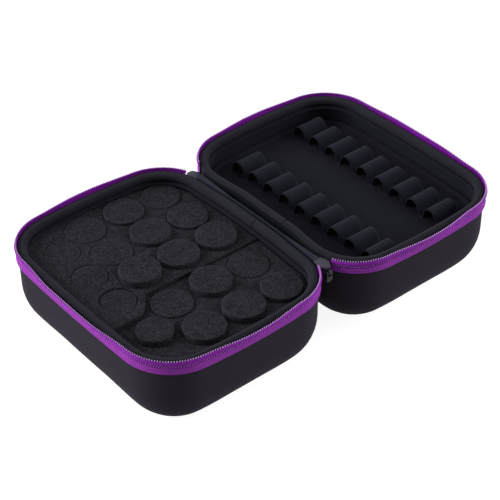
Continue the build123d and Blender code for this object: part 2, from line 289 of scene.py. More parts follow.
# Places, as shares of half a half's width and of half its length
COLUMN_SHARES = {"a": -0.578, "b": -0.226, "c": 0.198, "d": 0.621}
LARGE_ROW_SHARES = [0.727, 0.396, 0.064, -0.301, -0.658]
SMALL_ROW_SHARES = [0.609, 0.266, -0.069, -0.482]
REAR_ROWS = 3
CUT_CORNER_SHARES = (-0.347, -0.126)
CUT_LOBE_SHARES = (-0.549, -0.298)
PLUG_RISE_SHARES = {
    "a": [0.06, 0.02, -0.14, 0.94],
    "b": [0.18, 0.14, 1.0, 0.26, 0.88],
    "c": [0.48, 0.68, 0.74, 0.84, 0.94],
    "d": [0.18, 0.38, 0.76, 0.12, 0.64],
}
LOOP_PITCH_SHARE = 0.0906
LOOP_CROWN_SHARE = 0.362
LOOP_STEEP_FOOT_SHARE = 0.387
LOOP_FLARED_FOOT_SHARE = 0.515
LOOP_ROW_SHARES = {"inner": (-0.362, -0.016), "outer": (0.494, 0.05)}

# Profiles, as shares of a piece's own width and height
TAPE_STEPS = 4  # points of the tape's section for each point of its profile
CORD_SIDES = 10
TAPE_PROFILE = [
    (1, 0.07), (1.1, 0.15), (0.9, 0.24), (0.72, 0.32), (0.85, 0.52), (0.6, 0.74), (0.1, 0.93)]
BINDING_PROFILE = [
    (0, 0), (-0.02, 0.45), (0.07, 0.85), (0.17, 0.98), (0.24, 0.82), (0.33, 0.97),
    (0.52, 1.04), (0.75, 0.92), (0.93, 0.64)]
BAND_PROFILE = [
    (0, 0), (0.8, 0.05), (1.5, -0.45), (1.65, -1.2), (1.3, -1.9), (0.5, -2.3)]
PIPING_PROFILE = [(0, 0), (0, 0.6), (0.3, 0.97), (0.6, 0.92), (0.9, 0.5), (1, 0)]

# Points of the hinge's line, by number, that lie on its raised fold; faces off the fold take a darker copy
# of the hinge's cloth as painted shade
HINGE_FOLD_SPOTS = range(7, 13)
HINGE_STEPS = 44
HINGE_SINK = 0.1 * MM  # how far the strip's near end lies in the base's wall

# Rounding of edges, where the foam's cut edges lie, and what counts as one point
BOARD_EDGE = 0.4 * MM
CAST_EDGE = 0.22 * MM
CUT_EDGE_REACH = 4 * MM  # below the highest point of a block
WELD_DISTANCE = 0.01 * MM

# The plugs' uneven tops and sides, and the painted highlight on their rounded top edges
PLUG_TOP_RINGS = (0.86, 0.72, 0.55, 0.36, 0.18)
PLUG_EDGE_HIGHLIGHT = {1: 0.45, 2: 1.0, 3: 1.0, 4: 0.45}  # by ring, from the side's middle up
PLUG_DENT, PLUG_DENT_SCALE = 0.012, 260
PLUG_RIPPLE, PLUG_RIPPLE_SCALE = 0.28 * MM, 120
PLUG_SEED_STEP = 7.3

# Lamps: power, width and place
LAMPS = {
    "top_lamp": (5.0, 1.1, (0.1, 0.4, 1.5)),
    "left_lamp": (19.0, 0.9, (-1.05, 0.85, 0.65)),
    "right_lamp": (11.0, 0.9, (1.05, -0.85, 0.65)),
}
LAMP_TARGET = (0, 0, 0.03)
SURROUNDING_LIGHT = 0.17
FLOOR_GLOW = 0.9


# The rim: the outline that every swept piece follows

class Rim:
    """One half's outline seen from above, walked anticlockwise from its hinge side."""

    def __init__(self, half):
        case = sizes("case")
        self.half = half
        self.side = -1 if half == "base" else 1
        self.centre = Vector((self.side * (case.width + case.open_gap) / 2, 0))
        self.half_length = case.length / 2
        self.half_width = case.width / 2
        self.station_gap = case.station_gap
        self.give = case.base_give if half == "base" else case.lid_give
        self.arcs = list(self.arcs_of(case))
        self.length = sum(radius * sweep for _, radius, _, sweep in self.arcs)
        self.samples = [
            (self.place(distance, 0, 1).xy, self.at(distance)[1]) for distance in self.stations()]

    def arcs_of(self, case):
        """Centre, radius, first direction and sweep of each arc."""
        along_x = self.half_width - case.corner_radius - case.long_bow
        along_y = self.half_length - case.corner_radius - case.short_bow
        long_radius = along_y**2 / (2 * case.long_bow) + case.corner_radius + case.long_bow / 2
        short_radius = along_x**2 / (2 * case.short_bow) + case.corner_radius + case.short_bow / 2
        long_reach = self.half_width - long_radius
        short_reach = self.half_length - short_radius
        long_lean = math.atan2(along_y, along_x - long_reach)
        short_lean = math.atan2(along_x, along_y - short_reach)
        start = 0 if self.side < 0 else math.pi
        for quarter in range(4):
            facing = start + quarter * math.pi / 2
            ahead = Vector((math.cos(facing), math.sin(facing)))
            beside = Vector((-ahead.y, ahead.x))
            if quarter % 2:
                reach, across, lean, next_lean = along_y, along_x, short_lean, long_lean
                bow, radius = short_reach, short_radius
            else:
                reach, across, lean, next_lean = along_x, along_y, long_lean, short_lean
                bow, radius = long_reach, long_radius
            yield self.centre + ahead * bow, radius, facing - lean, 2 * lean
            corner = self.centre + ahead * reach + beside * across
            yield corner, case.corner_radius, facing + lean, math.pi / 2 - lean - next_lean

    def arc_at(self, distance):
        """The number of the arc at a distance along the outline, and how far along it."""
        rest = distance % self.length
        for number, (_, radius, _, turned) in enumerate(self.arcs):
            if rest <= radius * turned:
                break
            rest -= radius * turned
        return number, rest

    def at(self, distance):
        """The point a distance along the outline, and the direction outwards there."""
        number, rest = self.arc_at(distance)
        centre, radius, first, _ = self.arcs[number]
        turn = first + rest / radius
        outwards = Vector((math.cos(turn), math.sin(turn)))
        return centre + outwards * radius, outwards

    def slack(self, distance, side=None):
        """One along the straight sides, or along one of them, and nothing round the corners."""
        number, rest = self.arc_at(distance)
        if number % 2 or side not in (None, number):
            return 0
        _, radius, _, turned = self.arcs[number]
        near = min(1, min(rest, radius * turned - rest) / SLACK_REACH)
        return near * near * (3 - 2 * near)

    def place(self, distance, inset, height):
        """The point a distance along the outline, drawn in by inset, at a height."""
        point, outwards = self.at(distance)
        rise = min(height / sizes("shell").height, 1)
        across = self.give * self.slack(distance, 0) * rise**2
        return (point - outwards * inset).to_3d() + Vector((across, 0, height))

    def zip_place(self, distance, inset, height):
        """A place on the zip, which leans out and sinks a little along the straight sides."""
        zipper, shell = sizes("zip", "shell")
        low = zipper.tape_top - zipper.tape_height
        split = zipper.tape_top - zipper.ground
        sunk = min(max((height - low) / (split - low), 0), 1)
        rise = max(0, (height - low) / (zipper.height - low))
        outer = (shell.inset - inset) / (shell.inset - zipper.tape_inset)
        loose = self.slack(distance)
        lean = loose * zipper.side_lean * rise**1.2 * min(max(outer, 0), 1)
        point, _ = self.at(distance)
        front = min(max(-2 * point.y / self.half_length, 0), 1)
        hang = front**3 * max(0, 1 - point.x / zipper.end_reach) if self.side > 0 else 0
        drop = loose * zipper.side_drop * sunk + hang * zipper.end_droop * (0.5 + 0.5 * sunk)
        return self.place(distance, inset - lean, height - drop)

    def shell_place(self, distance, inset, height):
        """A place on the shell, whose straight sides draw in outside towards the bottom."""
        shell = sizes("shell")
        rise = min(height / shell.height, 1)
        loose = self.slack(distance) - self.slack(distance, 0)
        across = shell.bottom_radius + shell.inset - inset
        below = max(shell.bottom_radius - height, 0)
        skin = (shell.bottom_radius - math.hypot(across, below)) / shell.wall
        tuck = loose * shell.side_tuck * (1 - rise) ** 1.5 * min(max(1 - skin, 0), 1)
        return self.place(distance, inset + tuck, height)

    def stations(self, extra=()):
        """Evenly spaced distances round the outline, with some more of one's own."""
        steps = round(self.length / self.station_gap)
        even = [self.length * step / steps for step in range(steps)]
        spare = self.station_gap / 3
        kept = [one for one in even if all(abs(one - other) > spare for other in extra)]
        return sorted(kept + [other % self.length for other in extra])

    def hinge_distance(self, along):
        """The distance along the outline of a place on the hinge side."""
        _, radius, _, sweep = self.arcs[0]
        return radius * sweep / 2 - self.side * along

    def open_span(self, half_span):
        """First and last distance of what runs round the rim and leaves the hinge free."""
        first, last = sorted(self.hinge_distance(way * half_span) for way in (-1, 1))
        return last, first + self.length

    def nearest(self, point):
        """How far inside the outline a point lies, and the direction outwards there."""
        place, outwards = min(
            self.samples, key=lambda sample: (sample[0] - point).length_squared)
        return (place - point).dot(outwards), outwards

    def kept_inside(self, point, inset):
        """A point, moved in where it lies nearer to the outline than inset."""
        distance, outwards = self.nearest(point)
        return point - outwards * max(inset - distance, 0)


# Mesh helpers

def flowing(points, steps):
    """A smooth line through a few points of a profile, with some steps between each two."""
    points = [Vector(point) for point in points]
    before = [2 * points[0] - points[1]] + points[:-1]
    after = points[1:] + [2 * points[-1] - points[-2]]
    slopes = [(late - early) / 6 for early, late in zip(before, after)]
    line = []
    for number in range(len(points) - 1):
        here, there = points[number], points[number + 1]
        span = interpolate_bezier(
            here, here + slopes[number], there - slopes[number + 1], there, steps + 1)
        line += span[:-1]
    return line + [points[-1]]


def points_of(made):
    """The points among what an operator made."""
    return [item for item in made["geom"] if isinstance(item, bmesh.types.BMVert)]


def extruded(bm, edges):
    """Extrudes edges in place, and gives the new edges and points."""
    made = bmesh.ops.extrude_edge_only(bm, edges=edges)
    verts = points_of(made)
    fresh = set(verts)
    made_edges = [item for item in made["geom"] if isinstance(item, bmesh.types.BMEdge)]
    return [edge for edge in made_edges if fresh.issuperset(edge.verts)], verts


def cap(bm, *ends):
    """Closes each ring of edges with a face."""
    for edges in ends:
        bmesh.ops.contextual_create(bm, geom=edges)


def sweep(rim, profile, stations=None, loop=False, place=None):
    """A new bmesh with a profile of inset and height carried round the whole rim, one ring for
    each point. The profile is closed in itself, or else its two ends are capped."""
    place = place or rim.place
    stations = stations or rim.stations()
    bm = bmesh.new()
    along = bm.verts.layers.float.new("along")
    across = bm.verts.layers.float.new("across")
    ring = bmesh.ops.create_circle(bm, segments=len(stations), radius=1)["verts"]
    for vert, distance in zip(ring, stations):
        vert[along] = distance
    first = edges = bm.edges[:]
    travelled = 0
    for number, (inset, height) in enumerate(profile):
        if number:
            edges, ring = extruded(bm, edges)
            travelled += (Vector(profile[number]) - Vector(profile[number - 1])).length
        for vert in ring:
            vert.co = place(vert[along], inset, height)
            vert[across] = travelled
    if loop:
        bmesh.ops.bridge_loops(bm, edges=first + edges)
    else:
        cap(bm, first, edges)
    return bm


def unwrap(bm, rim):
    """A UV map that runs along the rim and across the profile."""
    along = bm.verts.layers.float["along"]
    across = bm.verts.layers.float["across"]
    uv = bm.loops.layers.uv.new("UVMap")
    for face in bm.faces:
        wraps = max(vert[along] for vert in face.verts) > rim.length / 2
        for loop in face.loops:
            distance = loop.vert[along]
            if wraps and distance < rim.length / 4:
                distance += rim.length
            loop[uv].uv = (distance, loop.vert[across])


def swept(rim, profile, **options):
    """A new bmesh with a closed profile carried round the rim, and its UV map."""
    bm = sweep(rim, profile, loop=True, **options)
    unwrap(bm, rim)
    return bm


def cut_open(bm, rim, half_span):
    """Takes out what lies on the hinge side between two places, and closes the ends."""
    gone = []
    for face in bm.faces:
        middle = face.calc_center_median()
        on_hinge_side = (middle.x - rim.centre.x) * rim.side < -rim.half_width / 2
        if on_hinge_side and abs(middle.y) < half_span:
            gone.append(face)
    bmesh.ops.delete(bm, geom=gone, context="FACES")
    ends = [edge for edge in bm.edges if edge.is_boundary]
    bmesh.ops.holes_fill(bm, edges=ends, sides=0)


def as_object(bm, name, materials=(), crease=40):
    """Turns a bmesh into an object, smooth but for its sharp edges."""
    mesh = bpy.data.meshes.new(name)
    bm.to_mesh(mesh)
    bm.free()
    for material in materials:
        mesh.materials.append(material)
    mesh.shade_smooth()
    mesh.set_sharp_from_angle(angle=math.radians(crease))
    thing = bpy.data.objects.new(name, mesh)
    bpy.context.scene.collection.objects.link(thing)
    return thing


def as_piece(bm, name, body, slot, looks, replaces=(), crease=40, recalc=True):
    """Turns a bmesh into a piece that rides on a body and stands for some CAD nodes. One that
    bends between bodies is given no body."""
    if recalc:
        bmesh.ops.recalc_face_normals(bm, faces=bm.faces)
    piece = as_object(bm, name, finishes(*looks), crease)
    if body:
        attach(piece, body)
    if replaces:
        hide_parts(*replaces)
    return piece


def half_piece(bm, rim, name, slot, looks, stands_for=None, **options):
    """A piece of the rim's own half, whose name starts its own name and its CAD node's."""
    replaces = [f"{rim.half}_{stands_for}"] if stands_for else ()
    as_piece(bm, f"{rim.half}_{name}", rim.half, slot, looks, replaces, **options)


def carved(form, tool, operation):
    """The mesh of a form cut by, or kept inside, a tool. Both objects are used up."""
    cut = form.modifiers.new("Cut", "BOOLEAN")
    cut.operation = operation
    cut.solver = "EXACT"
    cut.object = tool
    seen = form.evaluated_get(bpy.context.evaluated_depsgraph_get())
    mesh = bpy.data.meshes.new_from_object(seen)
    bm = bmesh.new()
    bm.from_mesh(mesh)
    for used in (form, tool):
        bpy.data.objects.remove(used)
    bpy.data.meshes.remove(mesh)
    return bm


def node_copy(name):
    """A merged copy of a CAD node's mesh, to bevel and finish."""
    bm = bmesh.new()
    bm.from_mesh(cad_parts[name].data)
    bmesh.ops.remove_doubles(bm, verts=bm.verts, dist=1e-6)
    bmesh.ops.dissolve_limit(
        bm, angle_limit=math.radians(1), verts=bm.verts, edges=bm.edges)
    return bm


def sharp_edges(bm, degrees, chosen=None):
    """Edges that turn by more than an angle, of those chosen."""
    limit = math.radians(degrees)
    return [
        edge for edge in (chosen or bm.edges)
        if len(edge.link_faces) == 2 and edge.calc_face_angle(0) > limit]


def edges_above(bm, height):
    """Edges that lie wholly above a height."""
    return [edge for edge in bm.edges if min(vert.co.z for vert in edge.verts) > height]


def soften(bm, edges, width, segments):
    """Rounds some edges."""
    bmesh.ops.bevel(
        bm, geom=edges, offset=width, offset_type="OFFSET", affect="EDGES", segments=segments,
        profile=0.5, material=-1, clamp_overlap=True)


# Materials

def node(tree, kind, inputs=None, **settings):
    """A new node with its settings and inputs. An input is a value or another's output."""
    made = tree.nodes.new(kind)
    for name, value in settings.items():
        setattr(made, name, value)
    for key, value in (inputs or {}).items():
        if isinstance(value, bpy.types.NodeSocket):
            tree.links.new(value, made.inputs[key])
        else:
            made.inputs[key].default_value = value
    return made


def new_group(name, **numbers):
    """A shader node group from a vector and some numbers to a height and a shade."""
    group = bpy.data.node_groups.new(name, "ShaderNodeTree")
    group.interface.new_socket("Vector", in_out="INPUT", socket_type="NodeSocketVector")
    for label, default in numbers.items():
        socket = group.interface.new_socket(
            label, in_out="INPUT", socket_type="NodeSocketFloat")
        socket.default_value = default
    for label in ("Height", "Shade"):
        group.interface.new_socket(label, in_out="OUTPUT", socket_type="NodeSocketFloat")
    return group, group.nodes.new("NodeGroupInput").outputs


def texture(group, given, kind, scale, inputs=None, **settings):
    """A texture in a group, scaled by one of the group's numbers."""
    return node(group, "ShaderNodeTex" + kind, {
        "Vector": given["Vector"], "Scale": given[scale], **(inputs or {})}, **settings)


def joined(tree, operation, first, second):
    """The outcome of a sum of two values."""
    return node(tree, "ShaderNodeMath", {0: first, 1: second}, operation=operation).outputs[0]


def knit_group():
    """Fine knitted cloth: slanting rows of stitches over a soft mottle."""
    group, given = new_group("Knit", Rows=900.0, Mottle=60.0)
    slant = texture(
        group, given, "Wave", "Rows", {"Distortion": 1.2, "Detail": 1.0, "Detail Scale": 1.5},
        wave_type="BANDS", bands_direction="DIAGONAL")
    rows = texture(
        group, given, "Wave", "Rows", {"Distortion": 0.8, "Detail": 1.0},
        wave_type="BANDS", bands_direction="Z")
    mottle = texture(group, given, "Noise", "Mottle", {"Detail": 5.0, "Roughness": 0.65})
    node(group, "NodeGroupOutput", {
        "Height": joined(group, "MULTIPLY", slant.outputs["Fac"], rows.outputs["Fac"]),
        "Shade": mottle.outputs["Fac"]})
    return group


def grain_group():
    """Open-celled foam: dark pores between lighter skins, and a few bright specks."""
    group, given = new_group("Foam Grain", Cells=1100.0, Clumps=240.0)
    cells = texture(group, given, "Voronoi", "Cells", {"Randomness": 1.0}, feature="F1")
    clumps = texture(group, given, "Noise", "Clumps", {"Detail": 4.0, "Roughness": 0.75})
    specks = texture(group, given, "Noise", "Cells", {"Detail": 2.0})
    pores = joined(group, "MULTIPLY", cells.outputs["Distance"], clumps.outputs["Fac"])
    shade = node(group, "ShaderNodeMapRange", {
        "Value": pores, "From Min": 0.08, "From Max": 0.42})
    bright = node(group, "ShaderNodeMapRange", {
        "Value": specks.outputs["Fac"], "From Min": 0.62, "From Max": 0.74, "To Max": 0.7})
    node(group, "NodeGroupOutput", {
        "Height": pores,
        "Shade": joined(group, "ADD", shade.outputs["Result"], bright.outputs["Result"])})
    return group


def weave_group():
    """Plain woven tape: warp and weft crossing."""
    group, given = new_group("Weave", Threads=1600.0, Mottle=220.0)
    warp, weft = [
        texture(
            group, given, "Wave", "Threads", {"Distortion": 0.4}, wave_type="BANDS",
            bands_direction=way).outputs["Fac"]
        for way in ("X", "Y")]
    mottle = texture(group, given, "Noise", "Mottle", {"Detail": 3.0})
    node(group, "NodeGroupOutput", {
        "Height": joined(group, "ADD", warp, weft), "Shade": mottle.outputs["Fac"]})
    return group


PATTERNS = {"Knit": knit_group, "Foam Grain": grain_group, "Weave": weave_group}


class Finish:
    """A material in the making: a coordinate, a surface pattern and the shader's sockets."""

    def __init__(self, name, base, roughness, sheen, specular, coordinate="Object"):
        self.material = bpy.data.materials.new(name)
        self.material.use_nodes = True
        self.material.diffuse_color = base
        self.tree = self.material.node_tree
        self.shader = self.tree.nodes["Principled BSDF"]
        self.base = tuple(base)
        for label, value in {
                "Base Color": base, "Roughness": roughness, "Sheen Weight": sheen,
                "Sheen Roughness": 0.45, "Specular IOR Level": specular}.items():
            self.shader.inputs[label].default_value = value
        self.coordinate = self.add("ShaderNodeTexCoord").outputs[coordinate]

    def add(self, kind, inputs=None, **settings):
        """A node in this material."""
        return node(self.tree, kind, inputs, **settings)

    def pattern(self, name, scale=None):
        """A shared pattern placed in this material, with its first number given or kept."""
        group = bpy.data.node_groups.get(name) or PATTERNS[name]()
        placed = self.add("ShaderNodeGroup", node_tree=group)
        self.tree.links.new(self.coordinate, placed.inputs["Vector"])
        if scale:
            placed.inputs[1].default_value = scale
        return placed.outputs

    def blended(self, mask, dark, light):
        """Feeds the base colour with two colours mixed by a mask."""
        mixed = self.add("ShaderNodeMix", {"Factor": mask}, data_type="RGBA")
        mixed.inputs["A"].default_value = dark
        mixed.inputs["B"].default_value = light
        self.tree.links.new(mixed.outputs["Result"], self.shader.inputs["Base Color"])

    def shaded(self, mask, low, high):
        """Feeds the base colour with two shades of it mixed by a mask."""
        self.blended(mask, *[
            tuple(min(channel * shade, 1) for channel in self.base[:3]) + (1,)
            for shade in (low, high)])

    def bump(self, height, millimetres):
        """Raises the surface by a height."""
        raised = self.add("ShaderNodeBump", {
            "Height": height, "Distance": millimetres * MM, "Strength": 1.0})
        self.tree.links.new(raised.outputs["Normal"], self.shader.inputs["Normal"])


def patterned_finish(
        name, base, pattern, scale, shades, depth, coat=(0.9, 0.02, 0.08), coordinate="Object"):
    """Knitted or woven cloth."""
    finish = Finish(name, base, *coat, coordinate)
    surface = finish.pattern(pattern, scale)
    finish.shaded(surface["Shade"], *shades)
    finish.bump(surface["Height"], depth)
    return finish.material


def speckled_finish(name, base, scale, detail, shades, depth, coat):
    """Painted metal or twisted thread."""
    finish = Finish(name, base, *coat)
    specks = finish.add("ShaderNodeTexNoise", {
        "Vector": finish.coordinate, "Scale": scale, "Detail": detail}).outputs["Fac"]
    finish.shaded(specks, *shades)
    if depth:
        finish.bump(specks, depth)
    return finish.material


def coil_finish(name, base):
    """Shiny nylon, with a painted highlight at the tips."""
    finish = Finish(name, base, 0.5, 0.0, 0.12)
    tips = finish.add("ShaderNodeAttribute", attribute_name="tip")
    finish.blended(tips.outputs["Fac"], tuple(base), tuple(sizes("colours").coil_tip))
    return finish.material


def foam_finish(name, base):
    """Cut foam with open cells, and a painted highlight along the plugs' rounded top edges."""
    finish = Finish(name, base, 0.95, 0.0, 0.06)
    grain = finish.pattern("Foam Grain")
    # the rim layer carries the painted highlight on the plugs' rounded edges
    rim = finish.add("ShaderNodeAttribute", attribute_name="rim")
    lit = finish.add("ShaderNodeMath", {
        0: rim.outputs["Fac"], 1: 0.35, 2: grain["Shade"]}, operation="MULTIPLY_ADD")
    finish.shaded(lit.outputs[0], 0.3, 1.65)
    finish.bump(grain["Height"], 0.7)
    return finish.material


# Each finish: its maker, its colour, and the maker's own numbers
TAPE_LOOK = ("Weave", 420.0, (0.8, 1.15), 0.08, (0.7, 0.0, 0.06), "UV")
METAL_LOOK = (900.0, 3.0, (0.85, 1.12), 0.03, (0.45, 0.0, 0.3))
FINISHES = {
    "Shell Fabric": (patterned_finish, "shell", "Knit", 520.0, (0.88, 1.14), 0.06),
    "Lining": (patterned_finish, "lining", "Knit", 640.0, (0.85, 1.15), 0.05),
    "Panel Cover": (patterned_finish, "panel", "Knit", 700.0, (0.92, 1.08), 0.02),
    "Binding": (patterned_finish, "binding", "Knit", 600.0, (0.85, 1.2), 0.05),
    "Hinge Fabric": (patterned_finish, "hinge", "Knit", 560.0, (0.85, 1.2), 0.05),
    "Gusset": (patterned_finish, "gusset", "Knit", 560.0, (0.85, 1.2), 0.05),
    "Zip Tape": (patterned_finish, "tape", *TAPE_LOOK),
    "Zip Ground": (patterned_finish, "ground", *TAPE_LOOK),
    "Zip Coil": (coil_finish, "coil"),
    "Thread": (speckled_finish, "thread", 1500.0, 2.0, (0.8, 1.2), 0, (0.7, 0.0, 0.08)),
    "Foam": (foam_finish, "foam"),
    "Elastic": (
        patterned_finish, "elastic", "Weave", 330.0, (0.75, 1.3), 0.1, (0.85, 0.03, 0.1),
        "UV"),
    "Slider": (speckled_finish, "slider", *METAL_LOOK),
    "Pull": (speckled_finish, "pull", *METAL_LOOK),
}


def finishes(*names):
    """Some of the box's materials, each made the first time it is asked for."""
    for name in names:
        if name not in bpy.data.materials:
            maker, colour_name, *numbers = FINISHES[name]
            maker(name, getattr(sizes("colours"), colour_name), *numbers)
    return [bpy.data.materials[name] for name in names]


# Shells, zip and rims

def bowl(inset, low, radius, steps):
    """Inset and height round a bottom's quarter circle, from its flat up to the wall."""
    turns = [math.radians(90 * step / steps) for step in range(steps + 1)]
    return [
        (inset + radius * (1 - math.sin(turn)), low + radius * (1 - math.cos(turn)))
        for turn in turns]


class OILBOX_OT_shells(bpy.types.Operator):
    """Build the two moulded shells, fabric outside and lining inside"""
    bl_idname = "oil_box.shells"
    bl_label = "Moulded Shells"

    def execute(self, context):
        shell = sizes("shell")
        wall_steps = 4
        rise = (shell.height - shell.bottom_radius) / wall_steps
        outside = bowl(shell.inset, 0, shell.bottom_radius, shell.bottom_steps) + [
            (shell.inset, shell.bottom_radius + rise * step) for step in range(1, wall_steps + 1)]
        inner = shell.inset + shell.wall
        inside = [(inner, shell.height)] + bowl(
            inner, shell.wall, shell.bottom_radius - shell.wall, shell.bottom_steps)[::-1]
        for half in HALVES:
            rim = Rim(half)
            bm = sweep(rim, outside + inside, place=rim.shell_place)
            unwrap(bm, rim)
            bmesh.ops.recalc_face_normals(bm, faces=bm.faces)
            for face in bm.faces:
                middle = face.calc_center_median()
                inset, _ = rim.nearest(middle.xy)
                lined = inset > shell.inset + shell.wall / 2
                upward = face.normal.z > 0 or face.normal.xy.dot(middle.xy - rim.centre) < 0
                face.material_index = 1 if lined and upward else 0
            half_piece(
                bm, rim, "shell_cover", "shell_fabric", ["Shell Fabric", "Lining"], "shell")
        return {"FINISHED"}


class OILBOX_OT_zip(bpy.types.Operator):
    """Build the zip: tape, coil, its cord and the stitches"""
    bl_idname = "oil_box.zip"
    bl_label = "Zip"

    def execute(self, context):
        for half in HALVES:
            rim = Rim(half)
            self.tape(rim)
            self.coil(rim)
            self.stitches(rim)
        return {"FINISHED"}

    def tape(self, rim):
        """The woven tape, folded under at its lower edge, with a darker copy of its colour as painted shade
        under the coil.
        """
        zipper, shell = sizes("zip", "shell")
        top, low = zipper.tape_top, zipper.tape_top - zipper.tape_height
        back, face, fold = shell.inset, zipper.tape_inset, zipper.tape_bulge
        split = top - zipper.ground
        front = flowing([
            (back, low), (face - 0.35 * fold, low),
            *[(face - out * fold, low + up * (split - low)) for out, up in TAPE_PROFILE],
            (face, split), (face, top)], TAPE_STEPS)
        bm = swept(rim, front + [Vector((back, split))], place=rim.zip_place)
        cut_open(bm, rim, zipper.stop_half_span)
        across = bm.verts.layers.float["across"]
        skirt = front[:-TAPE_STEPS]
        folded = sum((there - here).length for here, there in zip(skirt, skirt[1:]))
        # faces above the fold take the painted shade under the coil
        for piece in bm.faces:
            middle = sum(vert[across] for vert in piece.verts) / len(piece.verts)
            piece.material_index = 1 if middle > folded else 0
        half_piece(
            bm, rim, "woven_tape", "zip_tape", ["Zip Tape", "Zip Ground"], "zip_tape")

    def beads(self, rim, shift, half_size, height, sides, lean=0.0, tip_height=None):
        """A row of rounded beads along the zip, with a layer for the painted highlight near the tip."""
        zipper = sizes("zip")
        spacing = zipper.tooth_spacing
        bm = bmesh.new()
        tip = bm.verts.layers.float.new("tip")
        first, last = rim.open_span(zipper.stop_half_span)
        slant = Matrix.Identity(4)
        slant[1][2] = lean
        for number in range(int((last - first) / spacing - shift)):
            distance = first + (number + 0.5 + shift) * spacing
            _, outwards = rim.at(distance)
            turn = Matrix.Rotation(math.atan2(outwards.y, outwards.x), 4, "Z")
            place = Matrix.Translation(rim.zip_place(distance, zipper.tape_inset, height))
            out = Matrix.Translation((half_size[0] * 0.6, 0, 0))
            bead = bmesh.ops.create_uvsphere(
                bm, u_segments=sides, v_segments=sides - 2, radius=1,
                matrix=place @ turn @ out @ slant @ Matrix.Diagonal((*half_size, 1)))
            for vert in bead["verts"]:
                # the tip layer weighs the painted highlight, strongest at a tooth's top
                if tip_height:
                    below = place.translation.z + half_size[2] - vert.co.z
                    vert[tip] = max(0, 1 - below / tip_height)
        return bm

    def coil(self, rim):
        """The coil's teeth, evenly spaced, with a painted highlight on their tips, and the cord behind them.
        """
        zipper = sizes("zip")
        half_size = (zipper.tooth_depth / 2, zipper.tooth_width / 2, zipper.tooth_height / 2)
        bm = self.beads(
            rim, 0, half_size, zipper.height - half_size[2], 8, zipper.tooth_lean,
            zipper.tip_height)
        half_piece(
            bm, rim, "coil_teeth", "zip_coil", ["Zip Coil"], "zip_coil", crease=180,
            recalc=False)
        turns = [math.radians(360 / CORD_SIDES * step) for step in range(CORD_SIDES)]
        section = [
            (zipper.tape_inset - zipper.cord_depth * (1 - math.cos(turn)),
             zipper.height - zipper.cord_drop + zipper.cord_height * math.sin(turn))
            for turn in turns]
        bm = sweep(rim, section, loop=True, place=rim.zip_place)
        cut_open(bm, rim, zipper.stop_half_span)
        half_piece(bm, rim, "coil_cord", "zip_coil", ["Zip Coil"])

    def stitches(self, rim):
        """The two rows of stitches that hold the coil to the tape."""
        zipper = sizes("zip")
        half_size = (zipper.stitch_radius, zipper.stitch_length / 2, zipper.stitch_radius * 1.7)
        for number, name in enumerate(("upper", "lower")):
            height = zipper.height - zipper.stitch_drop - number * zipper.stitch_row_gap
            bm = self.beads(rim, number / 2, half_size, height, 6)
            half_piece(
                bm, rim, "stitches_" + name, "zip_tape", ["Thread"], crease=180, recalc=False)


class OILBOX_OT_rims(bpy.types.Operator):
    """Build the binding beads and the stiff bands inside the walls"""
    bl_idname = "oil_box.rims"
    bl_label = "Bindings and Bands"

    def execute(self, context):
        for half in HALVES:
            rim = Rim(half)
            self.bead(rim)
            self.band(rim)
        return {"FINISHED"}

    def bead(self, rim):
        """The rolled binding, with its groove, its lip and its butt seam."""
        trim, shell = sizes("rim", "shell")
        low = shell.height
        outer, inner = trim.inset, trim.inset + trim.width
        lip = low - trim.lip_drop
        wall = shell.inset + shell.wall
        section = flowing([
            *[(outer + out * trim.width, low + up * trim.height)
              for out, up in BINDING_PROFILE],
            (inner, low + 0.15 * trim.height), (inner, lip + 0.4 * trim.lip_drop),
            (inner - 0.06 * trim.width, lip), (wall, lip)], 3)
        seam = rim.hinge_distance(trim.base_seam if rim.half == "base" else trim.lid_seam)
        groove = [seam + step * trim.seam_half_width for step in (-2.5, -1, -0.4, 0.4, 1, 2.5)]
        bm = swept(rim, section + [Vector((wall, low))], stations=rim.stations(groove))
        along = bm.verts.layers.float["along"]
        core = Vector(((outer + inner) / 2, low + trim.height / 3))
        for vert in bm.verts:
            nearness = 1 - abs(vert[along] - seam) / trim.seam_half_width
            if nearness > 0:
                inset, _ = rim.nearest(vert.co.xy)
                inwards = core - Vector((inset, vert.co.z))
                moved = inwards.normalized() * trim.seam_depth * min(1, 1.6 * nearness)
                vert.co = rim.place(vert[along], inset + moved.x, vert.co.z + moved.y)
        half_piece(
            bm, rim, "binding_bead", "binding_fabric", ["Binding"], "binding", crease=60)

    def band(self, rim):
        """The covered band, with its folded upper edge."""
        trim, shell = sizes("rim", "shell")
        top = shell.height - trim.band_drop
        low = top - trim.band_height
        wall = shell.inset + shell.wall
        thick = trim.band_thickness
        section = flowing([
            *[(wall + out * thick, top + up * thick) for out, up in BAND_PROFILE],
            (wall + 0.4 * thick, (low + top) / 2), (wall + 0.4 * thick, low + thick),
            (wall + 0.5 * thick, low), (wall, low)], 3)
        half_piece(
            swept(rim, section), rim, "wall_band", "lining_fabric", ["Lining"], "liner_band",
            crease=60)


